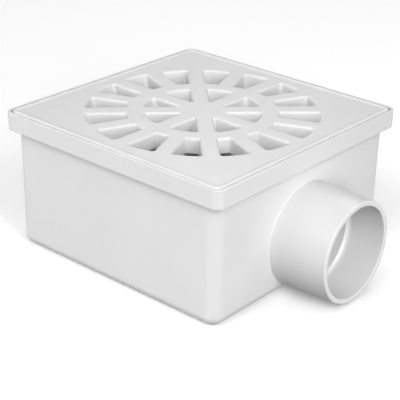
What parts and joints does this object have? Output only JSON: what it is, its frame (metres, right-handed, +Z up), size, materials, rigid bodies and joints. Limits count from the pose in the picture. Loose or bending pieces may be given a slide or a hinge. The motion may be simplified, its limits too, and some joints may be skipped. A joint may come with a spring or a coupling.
{
  "type": "gully trap",
  "caption": "Square floor gully trap with a flanged rim, a drop-in slotted grating, a lift-out hood that seals it with water, and a horizontal outlet spigot.",
  "frame": {"origin": "centre of the flat underside of the box", "axes": "+X towards the outlet spigot's open end, +Z up through the grating"},
  "size_m": [0.1256, 0.105, 0.055],
  "materials": {
    "body_plastic": "white, glossy, injection moulded",
    "grating_plastic": "white, glossy, injection moulded",
    "hood_plastic": "white, glossy, injection moulded"
  },
  "bodies": {
    "root": {"body": "body_plastic", "grating": "grating_plastic", "trap_hood": "hood_plastic"}
  },
  "joints": []
}
